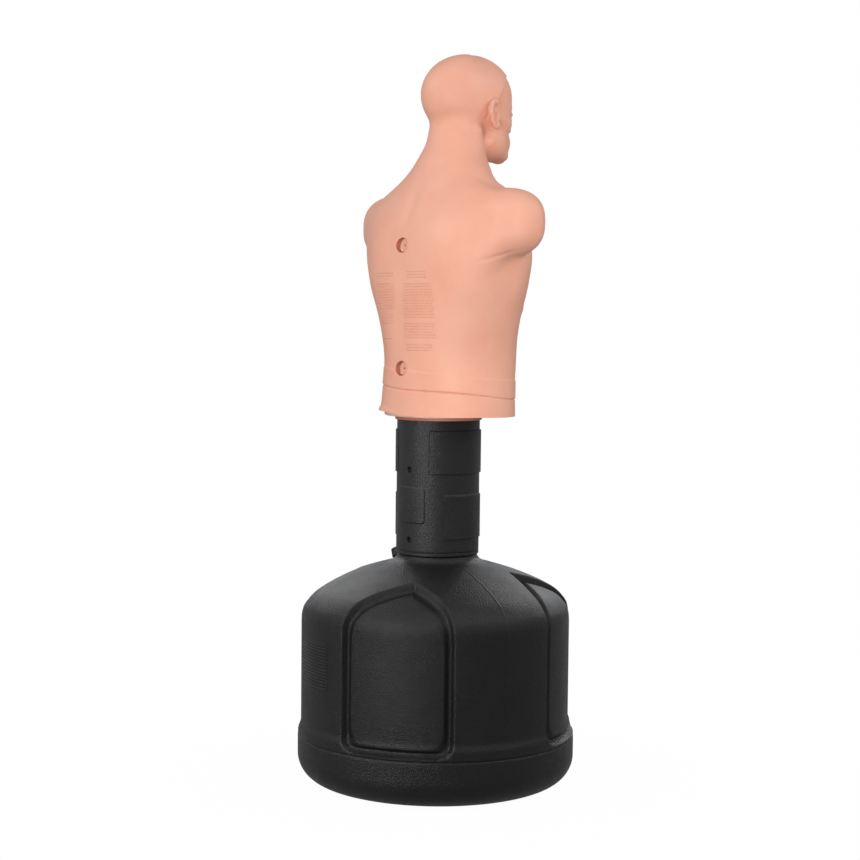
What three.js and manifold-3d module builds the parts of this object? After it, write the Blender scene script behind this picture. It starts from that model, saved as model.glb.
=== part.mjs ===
// Body opponent mannequin: a ballast tank base, a height-adjustable stem and a
// foam-filled vinyl torso with a head. Millimetres, +Z up. The origin is the
// centre of the base's underside and the figure faces -Y, so its right is -X.
import * as THREE from 'three';
import { mergeVertices } from 'three/addons/utils/BufferGeometryUtils.js';
import { ParametricGeometry } from 'three/addons/geometries/ParametricGeometry.js';
import Module from 'manifold-3d';

const wasm = await Module();
wasm.setup();

// ---- Driving dimensions -------------------------------------------------
const CLEARANCE = 0.3; // between pieces that rest on or sit in each other
const BASE_TURN = -10.5; // degrees, filler cap side of the base about +Z
const STEM_TURN = 6.5; // degrees, peg line of the stem from +Y about +Z

const RIM_RADIUS = 305; // 24 in base
const WALL_RADIUS = 300;
const RIM_ROUND = 60; // lower edge rounding
const FOOT_INNER = 226; // inside of the ring the base stands on
const UNDERSIDE_LIFT = 8;
const CREASE_HEIGHT = 103.5;
const NECK_TOP = 501.2;
const SHELL_WALL = 5;
const BASE_SEGMENTS = 40;

const ARCH_ANGLES = [46.5, 133.5, 226.5, 313.5]; // degrees from the cap side
const ARCH_HALF_ANGLE = 24.5;
const ARCH_SHOULDER_RADIUS = 280;
const ARCH_APEX_RADIUS = 180;
const ARCH_APEX_SHIFT = 5; // degrees, apex leans towards the parting line
const ARCH_BOTTOM = 110;
const GROOVE_WIDTH = 22;
const GROOVE_DEPTH = 14;
const PANEL_DEPTH = 8;

const WELL_RADIUS = 79;
const WELL_FLOOR = 72;

const CAP_DISTANCE = 158; // from the base's axis
const CAP_HEIGHT = 473.7;
const CAP_TILT = 22; // degrees outwards
const SPOUT_RADIUS = 19.5;
const SPOUT_BORE = 16.5;
const SPOUT_HEIGHT = 13;
const CAP_RADIUS = 24.5;
const CAP_TOP = 22;
const CAP_RIBS = 16;

const POST_RADIUS = 78;
const POST_BORE = 70;
const POST_TOP = 1105;
const HOLE_PITCH = 76.2; // 3 in height steps
const POST_HOLES = 8;

const STEM_BOTTOM = 510;
const STEM_TOP = 1140;
const STEM_RADIUS = 91;
const STEM_BORE = 81;
const STEM_PANEL = 3; // how far the grip panels stand out
const PEG_HEIGHTS = [535.5, 535.5 + 2 * HOLE_PITCH];
const PEG_HOLE = 6.9;
const ROUND_SEGMENTS = 48;

const SKIN_THICKNESS = 8;
const HEM_HEIGHT = 806;
const FOAM_BOTTOM = 796;
const SOCKET_BORE = 92.2;
const SOCKET_RADIUS = 95.3;
const POCKET_HEIGHTS = [1173, 908];
const POCKET_RADIUS = 15;
const POCKET_DEPTHS = [13.5, 10.2];
const PLUG_THICKNESS = 2.9;

// ---- Solids -------------------------------------------------------------
const radians = THREE.MathUtils.degToRad;

function signedVolume(position, index) {
  const [a, b, c] = [new THREE.Vector3(), new THREE.Vector3(), new THREE.Vector3()];
  let volume = 0;
  for (let i = 0; i < index.length; i += 3) {
    a.fromBufferAttribute(position, index[i]);
    b.fromBufferAttribute(position, index[i + 1]);
    c.fromBufferAttribute(position, index[i + 2]);
    volume += a.dot(b.cross(c)) / 6;
  }
  return volume;
}

// A closed three.js geometry as a solid whose faces point out.
function solidOf(geometry) {
  const bare = geometry.clone();
  bare.deleteAttribute('normal');
  bare.deleteAttribute('uv');
  const merged = mergeVertices(bare, 1e-3);
  const position = merged.attributes.position;
  const index = [];
  for (let i = 0; i < merged.index.count; i += 3) {
    const corners = [0, 1, 2].map((k) => merged.index.getX(i + k));
    if (new Set(corners).size === 3) index.push(...corners);
  }
  if (signedVolume(position, index) < 0) index.reverse();
  return new wasm.Manifold(new wasm.Mesh({
    numProp: 3,
    vertProperties: new Float32Array(position.array),
    triVerts: new Uint32Array(index),
  }));
}

function geometryOf(solid) {
  const { vertProperties, triVerts } = solid.getMesh();
  const geometry = new THREE.BufferGeometry();
  geometry.setAttribute('position', new THREE.BufferAttribute(vertProperties, 3));
  geometry.setIndex(new THREE.BufferAttribute(triVerts, 1));
  geometry.computeVertexNormals();
  return geometry;
}

const joined = (solids) => solids.reduce((sum, solid) => sum.add(solid));

// Solid of revolution about +Z from [radius, height] pairs.
function revolve(profile, segments = ROUND_SEGMENTS) {
  const points = profile.map(([r, z]) => new THREE.Vector2(r, z));
  return solidOf(new THREE.LatheGeometry(points, segments).rotateX(Math.PI / 2));
}

const disc = (radius, low, high, segments) =>
  revolve([[0, low], [radius, low], [radius, high], [0, high]], segments);

const tube = (outer, bore, low, high, segments) =>
  revolve([[bore, low], [outer, low], [outer, high], [bore, high], [bore, low]], segments);

// Cylinder along +Y, centred on the plane x = 0.
function rodAlongY(radius, near, far, height, segments = 24) {
  const rod = new THREE.CylinderGeometry(radius, radius, far - near, segments);
  return solidOf(rod.translate(0, (near + far) / 2, height));
}

// ---- Base ---------------------------------------------------------------
// Outer skin of the tank from the middle of its underside to the neck's top.
function tankProfile() {
  const foot = [[0, UNDERSIDE_LIFT], [FOOT_INNER - 12, UNDERSIDE_LIFT], [FOOT_INNER, 0]];
  const roundCentre = RIM_RADIUS - RIM_ROUND;
  const rounding = [0, 1, 2, 3, 4, 5].map((step) => {
    const angle = (Math.PI / 2) * (step / 5);
    return [roundCentre + RIM_ROUND * Math.sin(angle), RIM_ROUND * (1 - Math.cos(angle))];
  });
  const rim = [
    [RIM_RADIUS, CREASE_HEIGHT - 2], [RIM_RADIUS - 2, CREASE_HEIGHT], [RIM_RADIUS, CREASE_HEIGHT + 2],
    [RIM_RADIUS, 127], [WALL_RADIUS, 141],
  ];
  const dome = [
    [WALL_RADIUS, 364], [297, 384], [287, 400], [269, 414], [246, 427],
    [203, 447], [147, 468.5], [110, 480], [95, 487], [88, 495],
  ];
  return [...foot, ...rounding, ...rim, ...dome, [87, NECK_TOP], [0, NECK_TOP]];
}

// The same profile moved into the solid by a distance.
function insetProfile(profile, distance) {
  return profile.map(([r, z], i) => {
    const before = profile[Math.max(i - 1, 0)];
    const after = profile[Math.min(i + 1, profile.length - 1)];
    const along = new THREE.Vector2(after[0] - before[0], after[1] - before[1]).normalize();
    if (r === 0) return [0, z + (i === 0 ? distance : -distance)];
    return [Math.max(r - along.y * distance, 0.5), z + along.x * distance];
  });
}

// Prism over the plan outline of one arch: two radial sides and a pointed top.
function archPrism(angle, margin, bottom) {
  const towardsParting = Math.sign(Math.sin(radians(2 * angle)));
  const half = radians(ARCH_HALF_ANGLE) + margin / WALL_RADIUS;
  const shoulder = ARCH_SHOULDER_RADIUS - 0.4 * margin;
  const apexAngle = radians(-towardsParting * ARCH_APEX_SHIFT);
  const apex = ARCH_APEX_RADIUS - 1.4 * margin;
  const far = RIM_RADIUS + 40;
  const at = (radius, turn) => new THREE.Vector2(radius * Math.cos(turn), radius * Math.sin(turn));
  const outline = new THREE.Shape([
    at(apex, apexAngle), at(shoulder, -half), at(far, -half), at(far, half), at(shoulder, half),
  ]);
  const prism = new THREE.ExtrudeGeometry(outline, { depth: NECK_TOP - bottom, bevelEnabled: false });
  return solidOf(prism.translate(0, 0, bottom).rotateZ(radians(angle)));
}

const arches = (margin, bottom) => joined(ARCH_ANGLES.map((angle) => archPrism(angle, margin, bottom)));

// Tank body at a given inset, with grooves and panels sunk into the arches.
function tankBody(inset, margin) {
  const at = (extra) => revolve(insetProfile(tankProfile(), inset + extra), BASE_SEGMENTS);
  const grooved = at(0).subtract(arches(margin, ARCH_BOTTOM - margin)).add(at(GROOVE_DEPTH));
  const panels = at(PANEL_DEPTH).intersect(arches(-GROOVE_WIDTH - margin, ARCH_BOTTOM + GROOVE_WIDTH + margin));
  return grooved.add(panels);
}

// Moves a solid from the cap's own frame to the base's frame.
const capPlace = new THREE.Matrix4()
  .makeTranslation(CAP_DISTANCE, 0, CAP_HEIGHT)
  .multiply(new THREE.Matrix4().makeRotationY(radians(CAP_TILT)));
const placedAtCap = (solid) => solidOf(geometryOf(solid).applyMatrix4(capPlace));

function baseShell() {
  const well = disc(WELL_RADIUS + SHELL_WALL, WELL_FLOOR - SHELL_WALL, NECK_TOP + 1, BASE_SEGMENTS);
  const neck = disc(96, 468, NECK_TOP + 1, BASE_SEGMENTS);
  const cavity = tankBody(SHELL_WALL, SHELL_WALL).subtract(well).subtract(neck);
  const spout = placedAtCap(disc(SPOUT_RADIUS, -16, SPOUT_HEIGHT, 32));
  const filler = placedAtCap(disc(SPOUT_BORE, -32, SPOUT_HEIGHT + 10, 32));
  const post = disc(WELL_RADIUS, WELL_FLOOR, NECK_TOP + 1);
  return tankBody(0, 0).add(spout).subtract(cavity).subtract(filler).subtract(post);
}

const sandFill = () => revolve([
  [0, 14], [258, 14], [274, 40], [274, 205], [85, 205], [85, 66], [0, 66],
], BASE_SEGMENTS);

function fillCap() {
  const grip = new THREE.Shape();
  const points = CAP_RIBS * 3;
  for (let i = 0; i < points; i += 1) {
    const turn = (2 * Math.PI * i) / points;
    const radius = CAP_RADIUS - (i % 3 === 0 ? 1.5 : 0);
    if (i === 0) grip.moveTo(radius, 0);
    else grip.lineTo(radius * Math.cos(turn), radius * Math.sin(turn));
  }
  const body = new THREE.ExtrudeGeometry(grip, {
    depth: CAP_TOP - 4, bevelEnabled: true, bevelSize: 1.5, bevelOffset: -1.5, bevelThickness: 1, bevelSegments: 1,
  });
  return solidOf(body.translate(0, 0, 3)).subtract(disc(SPOUT_RADIUS + 0.7, 1, 17, 32));
}

const capGasket = () => tube(SPOUT_RADIUS, SPOUT_BORE, SPOUT_HEIGHT + CLEARANCE, 17 - CLEARANCE, 32);

// ---- Post and stem ------------------------------------------------------
function postTube() {
  const holes = Array.from({ length: POST_HOLES }, (_, step) =>
    rodAlongY(PEG_HOLE, 0, POST_RADIUS + 10, PEG_HEIGHTS[0] + step * HOLE_PITCH, 16));
  const wall = tube(POST_RADIUS, POST_BORE, WELL_FLOOR + CLEARANCE, POST_TOP);
  return wall.subtract(joined(holes));
}

const postFoot = () => disc(POST_BORE - CLEARANCE, WELL_FLOOR + CLEARANCE, WELL_FLOOR + 22, 48);

const postCap = () => revolve([
  [0, POST_TOP - 20], [POST_BORE - CLEARANCE, POST_TOP - 20], [POST_BORE - CLEARANCE, POST_TOP + CLEARANCE],
  [STEM_BORE - 0.6, POST_TOP + CLEARANCE], [STEM_BORE - 0.6, POST_TOP + 7], [0, POST_TOP + 7],
]);

// Band sector standing out of the stem, centred on an angle from +X.
function stemPad(centre, halfAngle, low, high, height, bore = STEM_RADIUS - 2) {
  const [from, to] = [radians(centre - halfAngle), radians(centre + halfAngle)];
  const outline = new THREE.Shape();
  outline.absarc(0, 0, STEM_RADIUS + height, from, to, false);
  outline.absarc(0, 0, bore, to, from, true);
  const steps = Math.max(4, Math.round(halfAngle / 3.2));
  const pad = new THREE.ExtrudeGeometry(outline, {
    depth: high - low, bevelEnabled: false, curveSegments: steps,
  });
  return solidOf(pad.translate(0, 0, low));
}

function stemTube() {
  const pads = joined([
    stemPad(180, 59.3, 681, 775.5, STEM_PANEL), stemPad(0, 59.3, 681, 775.5, STEM_PANEL),
    stemPad(180, 37, 539.5, 636.5, STEM_PANEL), stemPad(0, 37, 539.5, 636.5, STEM_PANEL),
    stemPad(90, 26, 572, 652, 1.5),
  ]);
  const holes = joined(PEG_HEIGHTS.map((height) => rodAlongY(PEG_HOLE, STEM_BORE - 10, 110, height)));
  return tube(STEM_RADIUS, STEM_BORE, STEM_BOTTOM, STEM_TOP).add(pads).subtract(holes);
}

// Flanged bush that closes the stem's lower end and rests on the base's neck.
const stemBush = () => revolve([
  [78.6, NECK_TOP + CLEARANCE], [STEM_RADIUS, NECK_TOP + CLEARANCE], [STEM_RADIUS, STEM_BOTTOM - CLEARANCE],
  [STEM_BORE - CLEARANCE, STEM_BOTTOM - CLEARANCE], [STEM_BORE - CLEARANCE, STEM_BOTTOM + 14],
  [78.6, STEM_BOTTOM + 14], [78.6, NECK_TOP + CLEARANCE],
]);

const stemCap = () => revolve([
  [0, STEM_TOP - 12], [STEM_BORE - CLEARANCE, STEM_TOP - 12], [STEM_BORE - CLEARANCE, STEM_TOP + CLEARANCE],
  [STEM_RADIUS, STEM_TOP + CLEARANCE], [STEM_RADIUS, STEM_TOP + 6], [0, STEM_TOP + 6],
]);

const heightPeg = (height) =>
  rodAlongY(PEG_HOLE - 0.5, POST_RADIUS + 1, 86.5, height)
    .subtract(rodAlongY(2.5, 82, 90, height, 12));

// ---- Torso --------------------------------------------------------------
// Cross-sections from the hem to the top of the neck: height, half width, half
// depth, centre in Y, and squareness (2 is an ellipse).
const TORSO_SECTIONS = [
  { z: HEM_HEIGHT, a: 157, b: 136, y: -25, n: 2.15 },
  { z: 860, a: 153, b: 135, y: -27, n: 2.15 },
  { z: 925, a: 149, b: 135, y: -28, n: 2.15 },
  { z: 1013, a: 168, b: 134, y: -27, n: 2.3 },
  { z: 1101, a: 198, b: 136, y: -25, n: 2.5 },
  { z: 1153, a: 207, b: 136, y: -23, n: 2.6 },
  { z: 1205, a: 202, b: 128, y: -22, n: 2.5 },
  { z: 1257, a: 186, b: 110, y: -22, n: 2.4 },
  { z: 1290, a: 160, b: 90, y: -19, n: 2.2 },
  { z: 1309, a: 138, b: 82, y: -18, n: 2.1 },
  { z: 1327, a: 120, b: 78, y: -21, n: 2 },
  { z: 1344, a: 102, b: 77, y: -28, n: 2 },
  { z: 1362, a: 86, b: 74, y: -30, n: 2 },
  { z: 1379, a: 74, b: 70, y: -34, n: 2 },
  { z: 1396, a: 66, b: 67, y: -38, n: 2 },
  { z: 1431, a: 62, b: 66, y: -44, n: 2 },
  { z: 1470, a: 55, b: 60, y: -48, n: 2 },
];
const FOAM_FOOT = [
  { z: FOAM_BOTTOM, a: 98, b: 98, y: 0, n: 2 },
  { z: 804, a: 144, b: 124, y: -24, n: 2.1 },
];
const SHOULDER = { x: 167, y: -28, z: 1221, size: [111, 66, 76] };
const CRANIUM = { x: 0, y: -76, z: 1505, size: [80, 109, 89] };
const JAW = { x: 0, y: -112, z: 1424, size: [60, 68, 62] };
const NOSE = { x: 0, y: -174, z: 1452, size: [15, 25, 27] };
const EAR = { x: 81, y: -79, z: 1461, size: [9, 18, 32] };

function sectionAt(sections, z) {
  const last = sections.length - 1;
  const upper = Math.min(Math.max(sections.findIndex((s) => s.z >= z), 1), last);
  const [low, high] = [sections[upper - 1], sections[upper]];
  const [before, after] = [sections[Math.max(upper - 2, 0)], sections[Math.min(upper + 1, last)]];
  const t = (z - low.z) / (high.z - low.z);
  const blend = (key) => {
    const slopeLow = (high[key] - before[key]) / (high.z - before.z);
    const slopeHigh = (after[key] - low[key]) / (after.z - low.z);
    const span = high.z - low.z;
    return (2 * t ** 3 - 3 * t ** 2 + 1) * low[key] + (t ** 3 - 2 * t ** 2 + t) * span * slopeLow
      + (3 * t ** 2 - 2 * t ** 3) * high[key] + (t ** 3 - t ** 2) * span * slopeHigh;
  };
  return { z, a: blend('a'), b: blend('b'), y: blend('y'), n: blend('n') };
}

// Closed skin through cross-sections, with a flat end at each side.
function loft(sections, rows, slices, inset) {
  const [bottom, top] = [sections[0].z, sections[sections.length - 1].z];
  const rings = Array.from({ length: rows + 1 }, (_, i) =>
    sectionAt(sections, bottom + ((top - bottom) * i) / rows));
  const point = (u, v, target) => {
    const row = Math.round(v * (rows + 2)) - 1;
    const ring = rings[Math.min(Math.max(row, 0), rows)];
    const open = row >= 0 && row <= rows ? 1 : 0;
    const turn = 2 * Math.PI * u;
    const power = 2 / ring.n;
    const [c, s] = [Math.cos(turn), Math.sin(turn)];
    target.set(
      open * Math.sign(c) * (ring.a - inset) * Math.abs(c) ** power,
      ring.y + open * Math.sign(s) * (ring.b - inset) * Math.abs(s) ** power,
      ring.z,
    );
  };
  return solidOf(new ParametricGeometry(point, slices, rows + 2));
}

function ellipsoid({ x, y, z, size }, inset, detail) {
  const ball = new THREE.SphereGeometry(1, detail, Math.round(detail * 0.6)).rotateX(Math.PI / 2);
  return solidOf(ball.scale(...size.map((half) => half - inset)).translate(x, y, z));
}

const mirrored = (place) => ({ ...place, x: -place.x });

// Outside form of the figure, or the same form moved in by a distance.
function figure(sections, rows, slices, inset) {
  const detail = inset ? 12 : 18;
  const features = inset ? [] : [
    ellipsoid(NOSE, 0, 12), ellipsoid(EAR, 0, 14), ellipsoid(mirrored(EAR), 0, 14),
  ];
  return joined([
    loft(sections, rows, slices, inset),
    ellipsoid(SHOULDER, inset, detail), ellipsoid(mirrored(SHOULDER), inset, detail),
    ellipsoid(CRANIUM, inset, detail + 4), ellipsoid(JAW, inset, detail), ...features,
  ]);
}

const backAt = (height) => {
  const { y, b } = sectionAt(TORSO_SECTIONS, height);
  return y + b;
};

const pocketFloor = (index) => backAt(POCKET_HEIGHTS[index]) - POCKET_DEPTHS[index];

const pockets = () => joined(POCKET_HEIGHTS.map((height, index) =>
  rodAlongY(POCKET_RADIUS, pocketFloor(index), backAt(height) + 30, height)));

function torsoSkin() {
  const inner = [{ ...TORSO_SECTIONS[0], z: HEM_HEIGHT - 10 }, ...TORSO_SECTIONS];
  const hollow = figure(inner, 12, 24, SKIN_THICKNESS);
  return figure(TORSO_SECTIONS, 19, 30, 0).subtract(hollow).subtract(pockets());
}

function foamCore() {
  const inner = [...FOAM_FOOT, ...TORSO_SECTIONS.slice(1)];
  const bore = disc(SOCKET_RADIUS + CLEARANCE, FOAM_BOTTOM - 5, 1160, 48);
  return figure(inner, 12, 24, SKIN_THICKNESS + 0.6).subtract(bore).subtract(pockets());
}

const socketTube = () => tube(SOCKET_RADIUS, SOCKET_BORE, FOAM_BOTTOM, 1159);

const socketCap = () => disc(SOCKET_BORE - CLEARANCE, STEM_TOP + 6.4, STEM_TOP + 14, 48);

function backPlug(index) {
  const height = POCKET_HEIGHTS[index];
  const floor = pocketFloor(index) + CLEARANCE;
  return rodAlongY(POCKET_RADIUS - 0.4, floor, floor + PLUG_THICKNESS, height)
    .subtract(rodAlongY(1.8, floor - 1, floor + 10, height, 10));
}

// ---- Materials ----------------------------------------------------------
const finish = (color, roughness, metalness = 0) =>
  new THREE.MeshStandardMaterial({ color, roughness, metalness });
const blackPlastic = () => finish(0x2b2b2d, 0.55);
const postPlastic = () => finish(0x3a3a3c, 0.5);
const vinyl = () => finish(0xe9a98b, 0.6);
const foam = () => finish(0xe8cbbd, 0.9);
const sand = () => finish(0xb59a6a, 1);
const rubber = () => finish(0x151515, 0.8);

// ---- Assembly -----------------------------------------------------------
function piece(name, solid, material) {
  const mesh = new THREE.Mesh(geometryOf(solid), material);
  mesh.name = name;
  return mesh;
}

const baseGroup = new THREE.Group();
baseGroup.rotation.z = radians(BASE_TURN);
const capGroup = new THREE.Group();
capGroup.applyMatrix4(capPlace);
capGroup.add(
  piece('fill_cap', fillCap(), blackPlastic()),
  piece('fill_cap_gasket', capGasket(), rubber()),
);
baseGroup.add(
  piece('base_shell', baseShell(), blackPlastic()),
  piece('sand_fill', sandFill(), sand()),
  capGroup,
);

const stemGroup = new THREE.Group();
stemGroup.rotation.z = radians(STEM_TURN);
stemGroup.add(
  piece('post_tube', postTube(), postPlastic()),
  piece('post_foot', postFoot(), postPlastic()),
  piece('post_cap', postCap(), postPlastic()),
  piece('stem_tube', stemTube(), blackPlastic()),
  piece('stem_bush', stemBush(), blackPlastic()),
  piece('stem_cap', stemCap(), blackPlastic()),
  piece('height_peg_lower', heightPeg(PEG_HEIGHTS[0]), rubber()),
  piece('height_peg_upper', heightPeg(PEG_HEIGHTS[1]), rubber()),
);

const torsoGroup = new THREE.Group();
torsoGroup.add(
  piece('torso_skin', torsoSkin(), vinyl()),
  piece('foam_core', foamCore(), foam()),
  piece('socket_tube', socketTube(), foam()),
  piece('socket_cap', socketCap(), foam()),
  piece('back_plug_upper', backPlug(0), vinyl()),
  piece('back_plug_lower', backPlug(1), vinyl()),
);

const mannequin = new THREE.Group();
mannequin.add(baseGroup, stemGroup, torsoGroup);

export default mannequin;
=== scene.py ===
import math
import random

import bmesh
import bpy
import numpy as np
from mathutils import Matrix, Vector


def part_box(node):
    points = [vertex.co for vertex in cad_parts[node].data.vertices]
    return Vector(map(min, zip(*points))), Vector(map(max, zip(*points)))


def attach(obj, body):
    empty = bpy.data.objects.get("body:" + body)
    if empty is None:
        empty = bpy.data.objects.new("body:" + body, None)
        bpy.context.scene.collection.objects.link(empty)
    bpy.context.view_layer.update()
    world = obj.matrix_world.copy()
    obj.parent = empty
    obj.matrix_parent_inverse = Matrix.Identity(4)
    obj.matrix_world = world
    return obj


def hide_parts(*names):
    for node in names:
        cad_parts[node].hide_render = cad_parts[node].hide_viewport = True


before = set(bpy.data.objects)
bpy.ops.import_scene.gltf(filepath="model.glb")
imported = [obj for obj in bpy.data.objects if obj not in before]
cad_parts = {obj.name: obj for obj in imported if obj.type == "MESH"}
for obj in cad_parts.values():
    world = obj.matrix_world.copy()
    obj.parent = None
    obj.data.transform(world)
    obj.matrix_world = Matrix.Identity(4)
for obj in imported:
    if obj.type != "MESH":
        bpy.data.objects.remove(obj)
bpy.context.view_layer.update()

# The part's own design values, in millimetres and degrees, as its source has them.
MM = 0.001
BASE_TURN, STEM_TURN = -10.5, 6.5
RIM_RADIUS, WALL_RADIUS, RIM_ROUND = 305.0, 300.0, 60.0
NECK_TOP = 501.2
ARCH_ANGLES, ARCH_HALF_ANGLE, ARCH_BOTTOM = (46.5, 133.5, 226.5, 313.5), 24.5, 110.0
ARCH_SHOULDER_RADIUS = 280.0
ARCH_APEXES = {46.5: (163.0, -1.0), 133.5: (184.0, 3.0), 226.5: (163.0, -3.0), 313.5: (184.0, -3.0)}
ROOF_EXTRA = {46.5: 9.0, 133.5: 0.0, 226.5: 9.0, 313.5: 0.0}
GROOVE_DEPTH, PANEL_DEPTH = 14.0, 7.5
SIDE_GROOVE, ROOF_GROOVE, FOOT_GROOVE = 23.0, 36.0, 22.0
WELL_RADIUS, WELL_FLOOR = 79.0, 72.0
CAP_DISTANCE, CAP_HEIGHT, CAP_TILT = 158.0, 473.7, 22.0
SPOUT_RADIUS, SPOUT_BORE, SPOUT_HEIGHT, CAP_RADIUS, CAP_TOP = 19.5, 16.5, 13.0, 24.5, 22.0
POST_RADIUS, POST_BORE, POST_TOP = 78.0, 70.0, 1105.0
STEM_BOTTOM, STEM_TOP, STEM_RADIUS, STEM_BORE = 510.0, 1140.0, 91.0, 81.0
PEG_HEIGHTS, HOLE_PITCH, PEG_HOLE = (535.5, 687.9), 76.2, 6.9
UPPER_GRIP, LOWER_GRIP, PLAIN_PAD = (681, 775.5), (539.5, 636.5), (572, 652)
HEM_HEIGHT, SKIN_THICKNESS, FOAM_BOTTOM = 806.0, 8.0, 796.0
SOCKET_RADIUS, SOCKET_BORE, SOCKET_TOP = 95.3, 92.2, 1159.0
POCKET_HEIGHTS, POCKET_RADIUS = (1173.0, 908.0), 15.0


# ---- Small helpers --------------------------------------------------------
def ramp(t, low, high):
    """0 below low, 1 above high, smooth between."""
    s = np.clip((t - low) / (high - low), 0, 1)
    return s * s * (3 - 2 * s)


def bell(t, centre, width):
    return np.exp(-(((t - centre) / width) ** 2))


def twin(x, centre, width):
    """A bell on each side of the middle plane."""
    return bell(x, centre, width) + bell(x, -centre, width)


def band(t, low, high, end, out):
    """1 between high and end, 0 below low and above out."""
    return ramp(t, low, high) * (1 - ramp(t, end, out))


def join(a, b, k):
    """Smooth union of two distance fields."""
    h = np.clip(0.5 + 0.5 * (b - a) / k, 0, 1)
    return b + (a - b) * h - k * h * (1 - h)


def carve(a, b, k):
    """Field a with b taken away, with a rounded edge."""
    return -join(-a, b, k)


def spline(t, knots, values):
    """Smooth curve through knots, as a cubic with centred slopes."""
    knots, values = np.asarray(knots, float), np.asarray(values, float)
    slopes = np.gradient(values, knots)
    t = np.clip(t, knots[0], knots[-1])
    i = np.clip(np.searchsorted(knots, t, side="right") - 1, 0, len(knots) - 2)
    span = knots[i + 1] - knots[i]
    s = (t - knots[i]) / span
    return ((2 * s**3 - 3 * s**2 + 1) * values[i] + (s**3 - 2 * s**2 + s) * span * slopes[i]
            + (3 * s**2 - 2 * s**3) * values[i + 1] + (s**3 - s**2) * span * slopes[i + 1])


def ellipsoid(x, y, z, centre, size):
    px, py, pz = x - centre[0], y - centre[1], z - centre[2]
    near = np.sqrt((px / size[0]) ** 2 + (py / size[1]) ** 2 + (pz / size[2]) ** 2)
    far = np.sqrt((px / size[0] ** 2) ** 2 + (py / size[1] ** 2) ** 2 + (pz / size[2] ** 2) ** 2)
    return near * (near - 1) / np.maximum(far, 1e-9)


def block(x, y, z, centre, size, power):
    """Rounded block: an ellipsoid with squarer shoulders."""
    px, py, pz = x - centre[0], y - centre[1], z - centre[2]
    reach = np.abs(px / size[0]) ** power + np.abs(py / size[1]) ** power + np.abs(pz / size[2]) ** power
    reach = np.maximum(reach, 1e-6) ** (1 / power)
    return np.sqrt(px**2 + py**2 + pz**2) * (1 - 1 / reach)


def capsule(x, y, z, start, end, radius_start, radius_end):
    ax, ay, az = start
    dx, dy, dz = end[0] - ax, end[1] - ay, end[2] - az
    px, py, pz = x - ax, y - ay, z - az
    h = np.clip((px * dx + py * dy + pz * dz) / (dx * dx + dy * dy + dz * dz), 0, 1)
    away = np.sqrt((px - dx * h) ** 2 + (py - dy * h) ** 2 + (pz - dz * h) ** 2)
    return away - (radius_start + (radius_end - radius_start) * h)


def surface_net(field, xs, ys, zs):
    """Points and quads of the zero surface of a sampled field."""
    inside = field < 0
    nx, ny, nz = field.shape
    corners = [(i, j, k) for i in (0, 1) for j in (0, 1) for k in (0, 1)]
    count = sum(inside[i:nx - 1 + i, j:ny - 1 + j, k:nz - 1 + k].astype(np.int8) for i, j, k in corners)
    active = (count > 0) & (count < 8)
    ci, cj, ck = np.nonzero(active)
    total, hits = np.zeros((len(ci), 3)), np.zeros(len(ci))
    for a in corners:
        for axis in range(3):
            if a[axis]:
                continue
            b = list(a)
            b[axis] = 1
            ia, ja, ka = ci + a[0], cj + a[1], ck + a[2]
            ib, jb, kb = ci + b[0], cj + b[1], ck + b[2]
            fa, fb = field[ia, ja, ka].astype(float), field[ib, jb, kb].astype(float)
            crosses = (fa < 0) != (fb < 0)
            t = np.where(crosses, fa / np.where(crosses, fa - fb, 1), 0)
            pa = np.stack([xs[ia], ys[ja], zs[ka]], 1)
            pb = np.stack([xs[ib], ys[jb], zs[kb]], 1)
            total += np.where(crosses[:, None], pa + (pb - pa) * t[:, None], 0)
            hits += crosses
    ids = np.full(active.shape, -1, np.int64)
    ids[ci, cj, ck] = np.arange(len(ci))
    quads = []
    rings = {0: [(0, -1, -1), (0, 0, -1), (0, 0, 0), (0, -1, 0)],
             1: [(-1, 0, -1), (-1, 0, 0), (0, 0, 0), (0, 0, -1)],
             2: [(-1, -1, 0), (0, -1, 0), (0, 0, 0), (-1, 0, 0)]}
    for axis, ring in rings.items():
        low = [slice(None)] * 3
        high = [slice(None)] * 3
        low[axis], high[axis] = slice(0, -1), slice(1, None)
        first, second = inside[tuple(low)], inside[tuple(high)]
        ei, ej, ek = np.nonzero(first != second)
        keep = np.ones(len(ei), bool)
        for other, index, size in ((0, ei, nx), (1, ej, ny), (2, ek, nz)):
            if other != axis:
                keep &= (index > 0) & (index < size - 1)
        ei, ej, ek = ei[keep], ej[keep], ek[keep]
        quad = np.stack([ids[ei + i, ej + j, ek + k] for i, j, k in ring], 1)
        outwards = first[ei, ej, ek]
        quads.append(np.where(outwards[:, None], quad, quad[:, ::-1]))
    return total / hits[:, None], np.concatenate(quads)


def settle(points, field, rounds=3, reach=1.5):
    """Moves points onto the zero surface of a field."""
    e = 0.15  # half the step over which the slope is taken
    for _ in range(rounds):
        value = field(*points.T)
        rise = [field(*(points + step).T) - field(*(points - step).T) for step in np.eye(3) * e]
        slope = np.stack(rise, 1) / (2 * e)
        move = value[:, None] * slope / np.maximum((slope**2).sum(1), 0.05)[:, None]
        length = np.sqrt((move**2).sum(1))
        points = points - move * np.minimum(1, reach / np.maximum(length, 1e-9))[:, None]
    return points


def sampled(field, xs, ys, zs, layers=16):
    """A field on a grid, worked out a few layers at a time."""
    out = np.empty((len(xs), len(ys), len(zs)), np.float32)
    for start in range(0, len(zs), layers):
        z = zs[start:start + layers]
        out[:, :, start:start + layers] = field(xs[:, None, None], ys[None, :, None], z[None, None, :])
    return out


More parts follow.
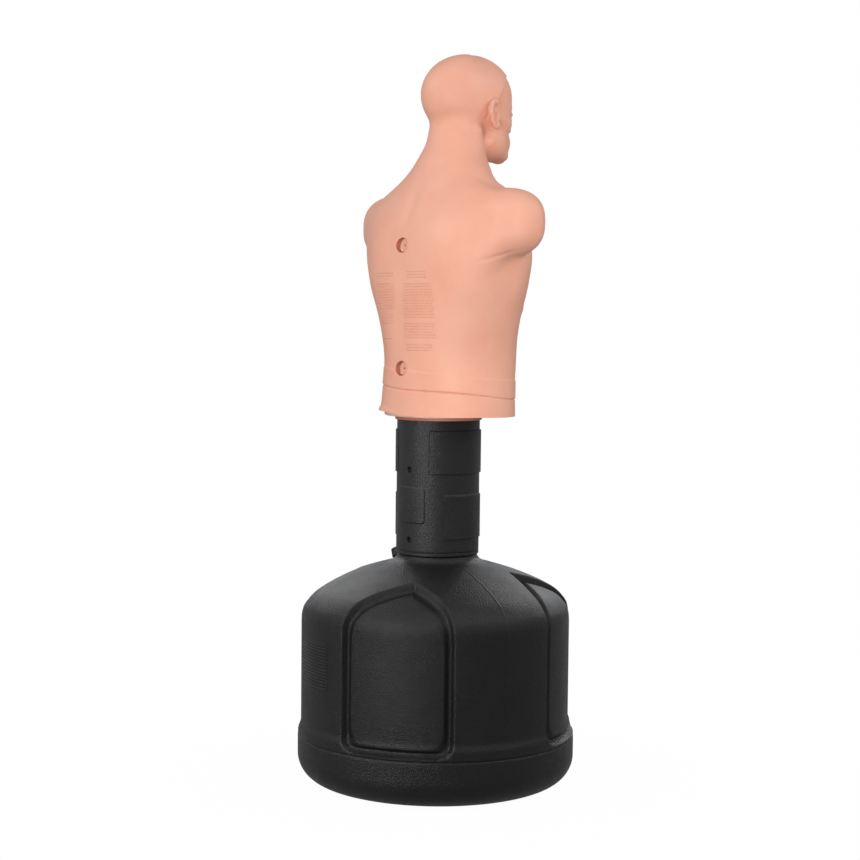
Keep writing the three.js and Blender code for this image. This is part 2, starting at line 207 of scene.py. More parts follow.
def spaced(fine, *marks):
    """Grid lines from marks of (place, spacing up to the next mark), all spacings times fine."""
    lines = []
    for (start, spacing), (end, _) in zip(marks, marks[1:]):
        lines += list(np.linspace(start, end, max(2, round((end - start) / (spacing * fine)) + 1)))[:-1]
    return np.array(lines + [marks[-1][0]])


def mesh_object(name, points, faces):
    """A smooth-shaded piece from points in millimetres."""
    mesh = bpy.data.meshes.new(name)
    mesh.from_pydata((np.asarray(points) * MM).tolist(), [], [list(map(int, f)) for f in faces])
    mesh.validate()
    mesh.shade_smooth()
    piece = bpy.data.objects.new(name, mesh)
    bpy.context.scene.collection.objects.link(piece)
    return piece


def wrapped_grid(rows, columns):
    """Quads over a grid of rows that close on themselves."""
    i, j = np.meshgrid(np.arange(rows - 1), np.arange(columns), indexing="ij")
    nxt = (j + 1) % columns
    quad = [i * columns + j, i * columns + nxt, (i + 1) * columns + nxt, (i + 1) * columns + j]
    return np.stack(quad, -1).reshape(-1, 4)


def revolved(name, profile, segments=128, place=None, rib=None):
    """Closed solid of revolution. profile runs up the outside and ends where it began, or on the axis.
    rib(angle, radius, height) gives how far the surface is moved in or out."""
    profile = np.array(profile, float)
    closed = np.allclose(profile[0], profile[-1])
    if closed:
        profile = profile[:-1]
    angle = np.linspace(0, 2 * math.pi, segments, endpoint=False)
    points, faces, first = [], [], []
    for r, z in profile:
        first.append(len(points))
        if r == 0:
            points.append((0, 0, z))
        else:
            out = r + (rib(angle, r, z) if rib else 0 * angle)
            points += list(zip(out * np.cos(angle), out * np.sin(angle), z + 0 * angle))
    rows = list(range(len(profile))) + ([0] if closed else [])
    for low, high in zip(rows[:-1], rows[1:]):
        a, b = first[low], first[high]
        for j in range(segments):
            n = (j + 1) % segments
            if profile[low][0] == 0:
                faces.append((a, b + n, b + j))
            elif profile[high][0] == 0:
                faces.append((a + j, a + n, b))
            else:
                faces.append((a + j, a + n, b + n, b + j))
    piece = mesh_object(name, points, faces)
    if place is not None:
        piece.data.transform(place)
    piece.data.set_sharp_from_angle(angle=math.radians(32))
    return piece


def turned(degrees):
    return Matrix.Rotation(math.radians(degrees), 4, "Z")


def facing_back(height):
    """Turns a revolved piece's axis to +Y and lifts it."""
    return Matrix.Translation((0, 0, height * MM)) @ Matrix.Rotation(-math.pi / 2, 4, "X")


# ---- Materials ------------------------------------------------------------
class Finish:
    """A node material built up in steps from a Principled shader."""

    def __init__(self, name, color, roughness, specular=0.5):
        self.material = bpy.data.materials.new(name)
        self.material.use_nodes = True
        self.tree = self.material.node_tree
        self.shader = self.tree.nodes["Principled BSDF"]
        self.set("Base Color", (*color, 1))
        self.set("Roughness", roughness)
        self.set("Specular IOR Level", specular)
        self.material.diffuse_color = (*color, 1)
        self.place = self.tree.nodes.new("ShaderNodeTexCoord").outputs["Object"]
        self.height = None

    def set(self, socket, value):
        self.shader.inputs[socket].default_value = value

    def node(self, kind, inputs, **choices):
        """A new node. Each input is a value, or another node's output to be linked."""
        node = self.tree.nodes.new("ShaderNode" + kind)
        for name, choice in choices.items():
            setattr(node, name, choice)
        for socket, value in inputs:
            if isinstance(value, bpy.types.NodeSocket):
                self.tree.links.new(value, node.inputs[socket])
            else:
                node.inputs[socket].default_value = value
        return node

    def noise(self, scale, detail=4.0, roughness=0.55, distortion=0.0):
        inputs = (("Vector", self.place), ("Scale", scale), ("Detail", detail), ("Roughness", roughness),
                  ("Distortion", distortion))
        return self.node("TexNoise", inputs).outputs["Fac"]

    def pebbles(self, scale):
        inputs = (("Vector", self.place), ("Scale", scale), ("Smoothness", 0.6), ("Randomness", 0.9))
        return self.node("TexVoronoi", inputs, feature="SMOOTH_F1").outputs["Distance"]

    def remap(self, value, low, high, from_low=0.3, from_high=0.7):
        inputs = (("Value", value), ("From Min", from_low), ("From Max", from_high), ("To Min", low),
                  ("To Max", high))
        return self.node("MapRange", inputs).outputs["Result"]

    def colors(self, value, *stops):
        node = self.node("ValToRGB", (("Fac", value),))
        elements = node.color_ramp.elements
        while len(elements) < len(stops):
            elements.new(0.5)
        for element, (position, color) in zip(elements, stops):
            element.position = position
            element.color = (*color, 1)
        self.tree.links.new(node.outputs["Color"], self.shader.inputs["Base Color"])
        return node.outputs["Color"]

    def vary_roughness(self, value, low, high):
        self.tree.links.new(self.remap(value, low, high), self.shader.inputs["Roughness"])

    def bump(self, value, strength, distance):
        """One more layer of relief, on top of those before it."""
        inputs = [("Strength", strength), ("Distance", distance), ("Height", value)]
        if self.height is not None:
            inputs.append(("Normal", self.height))
        self.height = self.node("Bump", inputs).outputs["Normal"]
        self.tree.links.new(self.height, self.shader.inputs["Normal"])

    def paint_pocket_shade(self, color, tone):
        """Paints shade into the round pockets of the back: a darker red-brown mixed over the skin's tone
        where the pocket walls fall in shadow.
        """
        wide, tall, aside = 0.0188, 0.0162, 0.0028  # the oval of painted shade in a pocket, in metres
        inside = 0.0
        for height in POCKET_HEIGHTS:
            shift = (-aside / wide, 0, -height * MM / tall)
            flat = self.node("VectorMath", ((0, self.place), (1, (1 / wide, 0, 1 / tall)), (2, shift)),
                             operation="MULTIPLY_ADD")
            away = self.node("VectorMath", ((0, flat.outputs["Vector"]),), operation="LENGTH")
            near = self.remap(away.outputs["Value"], 1.0, 0.0, 0.94, 1.02)
            inside = self.node("Math", ((0, inside), (1, near)), operation="MAXIMUM").outputs[0]
        split = self.node("SeparateXYZ", ((0, self.place),))
        behind = self.remap(split.outputs["Y"], 0.0, 1.0, 0.02, 0.03)
        share = self.node("Math", ((0, inside), (1, behind)), operation="MULTIPLY").outputs[0]
        mix = self.node("MixRGB", (("Fac", share), ("Color1", tone), ("Color2", (*color, 1))))
        self.tree.links.new(mix.outputs["Color"], self.shader.inputs["Base Color"])

    def on(self, *pieces):
        for piece in pieces:
            piece.data.materials.clear()
            piece.data.materials.append(self.material)


def black_plastic(name, shade, roughness, grain=1.0):
    """Moulded polyethylene with a fine leather grain."""
    finish = Finish(name, (shade * 1.06, shade, shade * 1.08), roughness, 0.3)
    dark = tuple(shade * k for k in (0.9, 0.84, 0.92))
    light = tuple(shade * k for k in (1.22, 1.15, 1.24))
    finish.colors(finish.noise(9, 3), (0.3, dark), (0.7, light))
    finish.vary_roughness(finish.noise(22, 5), roughness - 0.05, roughness + 0.06)
    finish.bump(finish.pebbles(420), 0.8 * grain, 0.0012)
    finish.bump(finish.noise(800, 4), 0.8 * grain, 0.0007)
    finish.bump(finish.noise(24, 2), 0.12 * grain, 0.004)
    return finish


def vinyl(name, color=(0.78, 0.38, 0.265)):
    """Satin vinyl, a little mottled, that lets some light in, with shade painted into the back's pockets.
    """
    finish = Finish(name, color, 0.5, 0.3)
    mottled = finish.noise(7, 5, 0.6, 0.3)
    deep = tuple(c * k for c, k in zip(color, (0.965, 0.93, 0.91)))
    pale = tuple(min(1, c * k) for c, k in zip(color, (1.02, 1.06, 1.09)))
    tone = finish.colors(mottled, (0.3, deep), (0.7, pale))
    # painted shade: a deep red-brown copy of the skin colour for the shadowed walls of the back's pockets
    finish.paint_pocket_shade(tuple(c * k for c, k in zip(color, (0.48, 0.28, 0.22))), tone)
    finish.vary_roughness(finish.noise(38, 4), 0.44, 0.56)
    finish.set("Subsurface Weight", 0.10)
    finish.set("Subsurface Radius", (0.010, 0.004, 0.003))
    finish.set("Subsurface Scale", 0.5)
    finish.bump(finish.noise(900, 3), 0.10, 0.0002)
    finish.bump(finish.noise(14, 3), 0.10, 0.006)
    return finish


# ---- Figure: torso, neck and head as one distance field -------------------
# Cross-sections: height, half width, depth to the front, depth to the back,
# middle in Y, squareness.
TORSO_SECTIONS = np.array([
    (790, 157, 136, 135, -25, 2.15), (806, 156, 136, 135, -25, 2.15), (860, 152, 135, 134, -27, 2.15),
    (925, 148, 134, 133, -28, 2.15), (1013, 167, 133, 132, -27, 2.3), (1101, 197, 133, 133, -25, 2.5),
    (1153, 206, 133, 132, -23, 2.6), (1205, 200, 128, 124, -22, 2.5), (1257, 184, 112, 106, -22, 2.35),
    (1290, 158, 94, 88, -19, 2.2), (1309, 137, 85, 80, -18, 2.1), (1327, 118, 79, 76, -21, 2),
    (1344, 101, 75, 74, -27, 2), (1362, 85, 72, 72, -31, 2), (1379, 73, 68, 69, -35, 2),
    (1396, 66, 66, 66, -40, 2), (1431, 62, 64, 63, -46, 2), (1480, 56, 58, 58, -52, 2),
])
HEAD_SCALE, HEAD_MIDDLE, HEAD_PLACE = 1.07, -58, -80
# Scalp edge: angle round the head from the front, height.
SCALP_EDGE = np.array([
    (0, 1550), (30, 1552), (50, 1545), (65, 1522), (80, 1492), (92, 1470), (105, 1449), (125, 1437),
    (150, 1427), (180, 1424),
])
VIEW_RIGHT = np.array([-math.cos(math.radians(50)), -math.sin(math.radians(50))])


def torso_field(x, y, z):
    knots = TORSO_SECTIONS[:, 0]
    width, front, back, middle, power = (spline(z, knots, TORSO_SECTIONS[:, k]) for k in range(1, 6))
    side, dy = np.abs(x), y - middle
    depth = np.where(dy < 0, front, back)
    ratio = ((side / width) ** power + (np.abs(dy) / depth) ** power) ** (1 / power)
    body = np.sqrt(x**2 + dy**2) * (1 - 1 / np.maximum(ratio, 1e-3))
    shoulder = block(side, y, z, (169, -28, 1220), (108, 62, 74), 2.5)
    body = join(body, shoulder, 12 + 56 * ramp(y, -30, 40))
    is_back, is_front = ramp(dy, 0, 40), ramp(-dy, 0, 40)

    # back: spine, muscles beside it, shoulder blades, flanks
    relief = (-1.8 * bell(x, 0, 16) * band(z, 1190, 1225, 1260, 1330)
              - 1.2 * bell(x, 0, 30) * band(z, 930, 1000, 1120, 1150)
              + 1.2 * twin(x, 44, 30) * band(z, 870, 940, 1060, 1160)
              + 3.2 * twin(x, 104, 46) * bell(z, 1196, 60)
              - 2.4 * bell(side, 150, 26) * bell(z, 1168 + 0.35 * (side - 150), 26)
              + 2.5 * twin(x, 150, 44) * bell(z, 1085, 60)
              + 2 * bell(x, 0, 46) * bell(z, 1290, 30))
    body = body - relief * is_back

    # front: chest, breastbone, collar bones, stomach, navel, flanks
    chest = (13 * twin(x, 78, 46) * bell(z, 1176, 42) * (1 - 0.55 * ramp(1128 - z, 0, 16))
             - 5 * bell(x, 0, 11) * band(z, 1100, 1140, 1245, 1285)
             - 4 * bell(z, 1122 + 0.0012 * (side - 70) ** 2, 7) * twin(x, 74, 44)
             + 1.8 * np.exp(-((side - 96) ** 2 + (z - 1150) ** 2) / 42))
    collar = (5 * bell(z, 1279 + 0.16 * side, 8) * band(side, 6, 24, 130, 165)
              - 6 * bell(z, 1298 + 0.10 * side, 11) * twin(x, 62, 34))
    stomach = -3.5 * bell(x, 0, 6) * band(z, 900, 960, 1090, 1120)
    for row, lift in ((1088, 3.0), (1046, 4.0), (1003, 4.0), (952, 2.5)):
        stomach = stomach + lift * twin(x, 32, 20) * bell(z, row, 17)
    stomach = stomach - 3.5 * twin(x, 72, 10) * band(z, 880, 940, 1080, 1110)
    stomach = stomach - 7 * np.exp(-(x**2 + 0.6 * (z - 930) ** 2) / 34)
    flank = 4 * twin(x, 114, 26) * bell(z, 925, 42)
    ribs = sum(2.2 * twin(x, 118 + 5 * n, 15) * bell(z, 1092 - 27 * n, 8) for n in range(3))
    body = body - (chest + collar + stomach + flank + ribs) * is_front

    # crease under the arm stump and the neck's front muscles
    fold = bell(z, 1148 - 0.35 * (y - 20), 3.5) * bell(y, 20, 26) * ramp(side, 150, 175)
    body = body + 2.6 * fold
    sinew = capsule(side, y, z, (56, -52, 1425), (13, -98, 1300), 12, 9)
    body = join(body, sinew, 12)
    throat = ellipsoid(x, y, z, (0, -103, 1352), (13, 13, 20))
    body = join(body, throat, 16)

    # waist: the belt stands 2 mm out under a ridge, with a thin wavy seam in it
    across = x * VIEW_RIGHT[0] + y * VIEW_RIGHT[1]
    ridge = 898 - 0.09 * across
    body = body - 1.5 * ramp(ridge - z, -2.2, 2.2)
    turn = np.arctan2(y + 25, x)
    seam = 858 - 0.085 * across + 2.5 * np.sin(3 * turn)
    body = body + 2.8 * bell(z, seam, 1.6) + 0.9 * ramp(seam - z, -0.8, 0.8)
    tick = bell(across, 107, 1.6) * band(z, seam - 2, seam, seam + 5, seam + 6)
    body = body + 1.2 * tick * is_back
    return np.maximum(body, z - 1478)


def ear_field(side, y, z):
    px, py, pz = side - 76, y + 61, z - 1461
    splay, lean = math.radians(15), math.radians(10)
    u0 = px * math.sin(splay) + py * math.cos(splay)
    w = px * math.cos(splay) - py * math.sin(splay)
    u = u0 * math.cos(lean) - pz * math.sin(lean)
    v = pz * math.cos(lean) + u0 * math.sin(lean)
    reach = np.sqrt((u / (17 + v * 0.12)) ** 2 + (v / 31) ** 2)
    disc = np.maximum(np.abs(w + 1) - 2.2, (reach - 1) * 15)
    rim = np.sqrt(((reach - 0.88) * 17) ** 2 + (w - 2.6) ** 2) - 2.9
    rim = rim + 9 * ramp(-u, 7, 13) * ramp(-v, -14, 4)
    fold = np.sqrt(((reach - 0.5) * 17) ** 2 + (w - 1.6) ** 2) - 2.1
    fold = fold + 9 * ramp(-u, -4, 4)
    ear = join(disc, rim, 1.5)
    ear = join(ear, fold, 1.5)
    root = ellipsoid(u, v, w, (-6, -3, -8), (12, 22, 9))
    ear = join(ear, root, 5)
    ear = carve(ear, ellipsoid(u, v, w, (-4, -5, 3), (6, 10, 6)), 2)
    tragus = ellipsoid(u, v, w, (-12, -5, 1), (3.5, 5, 4))
    lobe = ellipsoid(u, v, w, (-5, -26, 0), (8, 8, 4))
    return join(join(ear, tragus, 2), lobe, 3)


# The head under its ears, at a working size and facing -Y: how each part meets the ones before it, its
# shape and measures on one side of the middle, and how soft the seam is.
HEAD_PARTS = [
    (join, ellipsoid, (0, -90, 1445), (58, 58, 80), 24),
    (join, ellipsoid, (0, -92, 1402), (49, 54, 32), 18),
    (join, capsule, (49, -72, 1404), (22, -134, 1378), 9, 9, 16),
    (join, ellipsoid, (0, -139, 1377), (17, 13, 14), 12),
    (join, capsule, (60, -80, 1455), (40, -121, 1446), 7, 11, 16),
    (join, capsule, (8, -145, 1484), (45, -122, 1482), 6, 6, 12),
    (join, ellipsoid, (0, -136, 1408), (30, 18, 24), 16),
    (carve, ellipsoid, (30, -160, 1466), (17, 15, 11), 9),
    (join, ellipsoid, (30, -131, 1465), (13, 13, 12), 2),
    (join, ellipsoid, (30, -131.5, 1470), (15, 14.5, 8), 2.5),
    (join, ellipsoid, (30, -131, 1457), (14, 13.5, 5.5), 3),
    (join, capsule, (0, -145, 1474), (0, -159, 1444), 6, 8, 8),
    (join, ellipsoid, (0, -161, 1440), (9.5, 9.5, 8.5), 5),
    (join, ellipsoid, (11, -152, 1437), (6.5, 9.5, 6.5), 4),
    (carve, ellipsoid, (5.5, -158, 1430), (3.2, 5, 4), 2),
    (join, ellipsoid, (7, -152, 1414), (14, 6, 4), 3.5),
    (join, ellipsoid, (0, -151, 1405), (17.5, 6.5, 4.8), 3.5),
]


def head_field(x, y, z):
    """The head, set to its size and its place on the neck."""
    x, y = x / HEAD_SCALE, HEAD_MIDDLE + (y - HEAD_PLACE) / HEAD_SCALE
    side = np.abs(x)
    head = ellipsoid(x, y, z, (0, -52, 1505), (75, 103, 88))
    for meet, shape, *measures, softness in HEAD_PARTS:
        head = meet(head, shape(side, y, z, *measures), softness)
    face = ramp(-y, 112, 130)
    head = head + 2.2 * bell(z, 1409.6 - 0.0035 * x**2, 1.4) * (1 - ramp(side, 20, 25)) * face
    head = head + 2.2 * bell(z, 1394, 5) * bell(x, 0, 15) * face
    head = head + 1.0 * bell(x, 0, 3.2) * bell(z, 1423, 6) * face
    head = join(head, ear_field(side, y, z), 3)

    # the moulded hair stands proud above its edge, less so round the ears
    around = np.degrees(np.arctan2(side, -(y + 58)))
    edge = spline(around, SCALP_EDGE[:, 0], SCALP_EDGE[:, 1])
    fade = 1 - 0.7 * bell(around, 100, 26)
    outer = ramp(side + 400 * ramp(-y, 40, 90) + 400 * ramp(y, -30, 0), 0, 1)
    return head - 3.4 * ramp(z - edge, -1.0, 1.0) * fade * outer


def figure_field(x, y, z):
    body = torso_field(x, y, z)
    if np.max(z) > 1322:
        body = join(body, head_field(x, y, z), 13)
    return body


# Floor of each round pocket in the back, just under its plug.
POCKET_FLOORS = {height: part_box(plug)[0][1] / MM - 0.3
                 for height, plug in zip(POCKET_HEIGHTS, ("back_plug_upper", "back_plug_lower"))}


def pocket_field(x, y, z, height):
    """A round floor and a flared mouth that opens further on the figure's left."""
    floor = POCKET_FLOORS[height]
    flare = np.clip((y - floor) / 12, 0, 1.3)
    px = (x - 3.0 * flare) / (POCKET_RADIUS + 4.2 * flare)
    pz = (z - height) / (POCKET_RADIUS + 1.4 * flare)
    around = (np.sqrt(px**2 + pz**2) - 1) * POCKET_RADIUS
    return np.maximum(around, floor - y)


def skin_outside(x, y, z):
    body = figure_field(x, y, z)
    for height in POCKET_HEIGHTS:
        if np.min(z) < height + 40 and np.max(z) > height - 40:
            body = carve(body, pocket_field(x, y, z, height), 1.5)
    return body


def skin_inside(x, y, z):
    pockets = sum(bell(np.sqrt(x**2 + (z - height) ** 2), 0, 26) for height in POCKET_HEIGHTS)
    return figure_field(x, y, z) + SKIN_THICKNESS + 6 * pockets * ramp(y, 30, 70)


def figure_shell():
    fine = 1.0
    xs = spaced(fine, (-288, 4.6), (-98, 2.3), (-64, 3), (-44, 2.3), (44, 3), (64, 2.3), (98, 4.6),
                (288, 0))
    ys = spaced(fine, (-216, 2.2), (-120, 3), (-88, 2.2), (-36, 3.4), (46, 4.2), (134, 0))
    zs = spaced(fine, (796, 1.5), (912, 2.2), (932, 4.6), (1152, 2), (1194, 4.2), (1345, 2.1), (1550, 3),
                (1598, 0))
    points, quads = surface_net(sampled(skin_outside, xs, ys, zs), xs, ys, zs)
    points = settle(points, skin_outside)
    grid = [np.arange(-288, 290, 9.0), np.arange(-214, 136, 9.0), np.arange(790, 1606, 9.0)]
    inner, inner_quads = surface_net(sampled(skin_inside, *grid), *grid)
    inner = settle(inner, skin_inside)

    shell = bmesh.new()
    for cloud, faces, outside in ((points, quads, True), (inner, inner_quads, False)):
        layer = bmesh.new()
        made = [layer.verts.new(p) for p in cloud]
        for face in faces:
            layer.faces.new([made[i] for i in (face if outside else face[::-1])])
        bmesh.ops.bisect_plane(layer, geom=layer.verts[:] + layer.edges[:] + layer.faces[:], dist=1e-4,
                               plane_co=(0, 0, HEM_HEIGHT), plane_no=(0, 0, 1), clear_inner=True)
        keep = largest_part(layer)
        bmesh.ops.delete(layer, geom=[v for v in layer.verts if v not in keep], context="VERTS")
        holder = bpy.data.meshes.new("layer")
        layer.to_mesh(holder)
        layer.free()
        shell.from_mesh(holder)
        bpy.data.meshes.remove(holder)
    rim = [e for e in shell.edges if e.is_boundary]
    bmesh.ops.triangle_fill(shell, edges=rim, use_beauty=True, normal=(0, 0, -1))
    for v in shell.verts:
        if v.co.z < HEM_HEIGHT + 40:
            v.co = hem_shape(v.co)
    bmesh.ops.scale(shell, vec=(MM, MM, MM), verts=shell.verts)
    mesh = bpy.data.meshes.new("vinyl_figure")
    shell.to_mesh(mesh)
    shell.free()
    mesh.shade_smooth()
    mesh.set_sharp_from_angle(angle=math.radians(50))
    piece = bpy.data.objects.new("vinyl_figure", mesh)
    bpy.context.scene.collection.objects.link(piece)
    return piece


def largest_part(mesh):
    """Vertices of the biggest connected part."""
    left, best = set(mesh.verts), set()
    while left:
        seed = left.pop()
        found, edge = {seed}, [seed]
        while edge:
            v = edge.pop()
            for e in v.link_edges:
                other = e.other_vert(v)
                if other not in found:
                    found.add(other)
                    edge.append(other)
        left -= found
        if len(found) > len(best):
            best = found
    return best


def hem_shape(p):
    """The hem dips and rises a little and flares out at the left of the back."""
    across = p.x * VIEW_RIGHT[0] + p.y * VIEW_RIGHT[1]
    near = float(ramp(HEM_HEIGHT + 40 - p.z, 0, 40))
    lift = float(7.5 * ramp(-across, 70, 135) - 1.5 * ramp(across, 60, 150))
    flare = 0.035 * float(ramp(-across, 95, 130)) * float(ramp(HEM_HEIGHT + 16 - p.z, 0, 16))
    return Vector((p.x * (1 + flare), p.y * (1 + flare), p.z + lift * near))


# ---- Base -----------------------------------------------------------------
# The tank's shoulder and dome up to the neck: radius and height.
DOME_KNOTS = np.array([
    (300, 357), (298.7, 374), (294, 389), (284.5, 402), (268, 418), (243, 433), (203, 451), (160, 466.5),
    (125, 477), (106, 482.5), (95.5, 487.5), (89.5, 494.5), (87.3, 501.2),
])


def tank_outline():
    """Outer profile of the tank, from under the rim up to the neck, in fine steps."""
    centre = RIM_RADIUS - RIM_ROUND
    corner = [(centre + RIM_ROUND * math.sin(a), RIM_ROUND * (1 - math.cos(a)))
              for a in np.linspace(0, math.pi / 2, 18)]
    wall = [(RIM_RADIUS, z) for z in np.arange(RIM_ROUND + 6, 98, 6)]
    step = [(0.1, 100), (0.6, 101.6), (2.4, 102.8), (2.6, 104), (1.0, 105), (0.5, 107)]
    wall += [(RIM_RADIUS - inset, z) for inset, z in step + [(0.5, z) for z in np.arange(110, 124, 3)]]
    wall += [(RIM_RADIUS - 0.5 - 4.5 * float(ramp(z, 122, 141)), z) for z in np.arange(124, 143, 2)]
    wall += [(WALL_RADIUS, z) for z in np.arange(145, 340, 6)]
    wall += [(WALL_RADIUS, z) for z in np.arange(341, 356, 3)]
    steps = np.concatenate([[0], np.cumsum(np.hypot(*np.diff(DOME_KNOTS, axis=0).T))])
    t = np.arange(0, steps[-1], 2.6)
    dome = list(zip(spline(t, steps, DOME_KNOTS[:, 0]), spline(t, steps, DOME_KNOTS[:, 1])))
    return np.array(corner + wall + dome + [(87, NECK_TOP - 1.2), (85.8, NECK_TOP)])


def arch_depth(angle, outline):
    """How far the tank's skin is sunk by the four arches: a groove round a raised panel."""
    radius, z = outline[:, :1], outline[:, 1:]
    along = np.concatenate([[0], np.cumsum(np.hypot(*np.diff(outline, axis=0).T))])
    dome = outline[:, 1] > 340
    from_top = (along[-1] - along)[:, None]
    depth = np.zeros((len(outline), len(angle)))
    for middle in ARCH_ANGLES:
        away = (angle - middle + 180) % 360 - 180
        reach, lean = ARCH_APEXES[middle]
        hand = np.where(away < lean, -1.0, 1.0)
        eave = ARCH_SHOULDER_RADIUS * np.exp(1j * np.radians(hand * ARCH_HALF_ANGLE))
        peak = reach * np.exp(1j * math.radians(lean))
        ray = np.exp(1j * np.radians(np.clip(away, -60, 60)))
        run = eave - peak
        line_radius = (peak * np.conj(run)).imag / (ray * np.conj(run)).imag
        line_radius = np.where(np.abs(away) > ARCH_HALF_ANGLE, ARCH_SHOULDER_RADIUS + 8, line_radius)
        roof_edge = np.interp(-line_radius, -outline[dome][::-1, 0][::-1], from_top[dome][:, 0])
        slope = np.gradient(roof_edge, np.radians(angle)) / np.maximum(line_radius, 1)
        roof = (from_top - roof_edge) / np.sqrt(1 + np.minimum(slope**2, 2))
        sides = (ARCH_HALF_ANGLE - np.abs(away)) * math.pi / 180 * np.maximum(radius, 200)
        inside = join(sides / SIDE_GROOVE, roof / ROOF_GROOVE, 1.1)
        inside = join(inside, (z - ARCH_BOTTOM) / FOOT_GROOVE, 1.5)
        inside = np.where(np.abs(away) < 60, inside, -1)
        outer, inner = crease(inside, 0.0, 0.32), crease(inside, 0.54, 0.98)
        deep = GROOVE_DEPTH + ROOF_EXTRA[middle] * ramp(z, 360, 430)
        groove = deep * outer - (deep - PANEL_DEPTH) * inner
        depth = np.maximum(depth, groove)
    return depth


def crease(t, low, high):
    """0 below low, 1 above high, with tighter corners than ramp's."""
    s = np.clip((t - low) / (high - low), 0, 1)
    return 0.6 * s + 0.4 * s * s * (3 - 2 * s)


def tank_angles():
    """Directions round the tank, closer together at the grooves' sides and the parting lines."""
    marks = [(m + hand * (ARCH_HALF_ANGLE - 2), 3.2, 0.34) for m in ARCH_ANGLES for hand in (-1, 1)]
    marks += [(0, 1.2, 0.3), (180, 1.2, 0.3)]
    coarse = 0.95
    angle, at = [], 0.0
    while at < 360 - 0.2:
        angle.append(at)
        step = coarse
        for centre, half, fine in marks:
            gap = abs((at - centre + 180) % 360 - 180)
            if gap < half:
                step = min(step, fine)
            elif gap < half + coarse and (centre - at) % 360 < 180:
                step = min(step, max(fine, gap - half))
        at += step
    return np.array(angle)


def tank():
    angle = tank_angles()
    columns = len(angle)
    outline = tank_outline()
    along = np.gradient(outline, axis=0)
    along /= np.hypot(*along.T)[:, None]
    radius, z, theta = outline[:, :1], outline[:, 1:], angle[None, :]
    rise = -arch_depth(angle, outline)
    for parting in (0, 180):
        away = np.abs((theta - parting + 180) % 360 - 180) * math.pi / 180 * radius
        rise = rise + 0.6 * bell(away, 0, 1.3) * band(z, 108, 116, 486, 492)
    lean = math.radians(CAP_TILT)
    flat_x = radius * np.cos(np.radians(theta)) - CAP_DISTANCE
    flat_y = radius * np.sin(np.radians(theta))
    off_axis = np.hypot(flat_x * math.cos(lean) - (z - CAP_HEIGHT) * math.sin(lean), flat_y)
    near_spout = (z > 430) & (np.abs((theta + 180) % 360 - 180) < 30)
    rise = rise - 22 * (1 - ramp(off_axis, SPOUT_BORE - 1, SPOUT_BORE + 2)) * near_spout
    rise = rise + 4 * bell(off_axis, SPOUT_RADIUS, 6) * (off_axis > SPOUT_BORE) * near_spout
    out_r = radius + along[:, 1:] * rise
    out_z = z - along[:, :1] * rise
    grid = np.stack([out_r * np.cos(np.radians(theta)), out_r * np.sin(np.radians(theta)), out_z], -1)
    closing = [(84, NECK_TOP), (WELL_RADIUS + 1, NECK_TOP), (WELL_RADIUS, NECK_TOP - 1)]
    closing += [(WELL_RADIUS, 480), (WELL_RADIUS, 300), (WELL_RADIUS, WELL_FLOOR)]
    closing += [(40, WELL_FLOOR), (2, WELL_FLOOR)]
    under = [(2, 8), (60, 8), (140, 8), (206, 8), (213, 7), (219, 3), (224, 0.4), (228, 0), (236, 0)]
    rows = [ring(r, h, angle) for r, h in under] + list(grid) + [ring(r, h, angle) for r, h in closing]
    points = np.concatenate(rows)
    faces = [tuple(q) for q in wrapped_grid(len(rows), columns)]
    faces.append(tuple(range(columns - 1, -1, -1)))
    faces.append(tuple(range((len(rows) - 1) * columns, len(rows) * columns)))
    piece = mesh_object("tank_moulding", points, faces)
    piece.data.transform(turned(BASE_TURN))
    piece.data.set_sharp_from_angle(angle=math.radians(60))
    return piece


def ring(radius, height, angle):
    """Points of one level circle."""
    turn = np.radians(angle)
    level = np.full(len(turn), float(height))
    return np.stack([radius * np.cos(turn), radius * np.sin(turn), level], -1)


def ribbed_pad():
    """A plain ribbed pad on the tank's wall, with no lettering."""
    half_angle, low, high, pitch = 14.0, 223.0, 329.0, 6.6
    angle = np.linspace(86.5 - half_angle, 86.5 + half_angle, 73)
    z = np.linspace(low, high, 97)
    theta, height = np.meshgrid(np.radians(angle), z)
    across = np.minimum(theta - theta.min(), theta.max() - theta) * WALL_RADIUS
    edge = np.minimum(across, np.minimum(height - low, high - height))
    inner = ramp(edge, 5, 7)
    rise = 0.8 * ramp(edge, -0.5, 1.5) - 0.5 * inner
    rise = rise + inner * 1.9 * (0.5 + 0.5 * np.cos(2 * math.pi * (height - low) / pitch))
    top = WALL_RADIUS + rise
    grid = np.stack([top * np.cos(theta), top * np.sin(theta), height], -1)
    back = np.stack([(WALL_RADIUS - 1) * np.cos(theta), (WALL_RADIUS - 1) * np.sin(theta), height], -1)
    return closed_patch("ribbed_pad", grid, back, turned(BASE_TURN))


def closed_patch(name, front, back, place):
    """Thin solid between two grids of the same size."""
    rows, columns = front.shape[:2]
    i, j = np.meshgrid(np.arange(rows - 1), np.arange(columns - 1), indexing="ij")
    first = i * columns + j
    quad = np.stack([first, first + 1, first + columns + 1, first + columns], -1).reshape(-1, 4)
    shift = rows * columns
    edge = [(0, c) for c in range(columns)] + [(r, columns - 1) for r in range(1, rows)]
    edge += [(rows - 1, c) for c in range(columns - 2, -1, -1)] + [(r, 0) for r in range(rows - 2, 0, -1)]
    loop = [r * columns + c for r, c in edge]
    sides = [(b, a, a + shift, b + shift) for a, b in zip(loop, loop[1:] + loop[:1])]
    points = np.concatenate([front.reshape(-1, 3), back.reshape(-1, 3)])
    piece = mesh_object(name, points, list(quad) + list(quad[:, ::-1] + shift) + sides)
    piece.data.transform(place)
    piece.data.set_sharp_from_angle(angle=math.radians(50))
    return piece


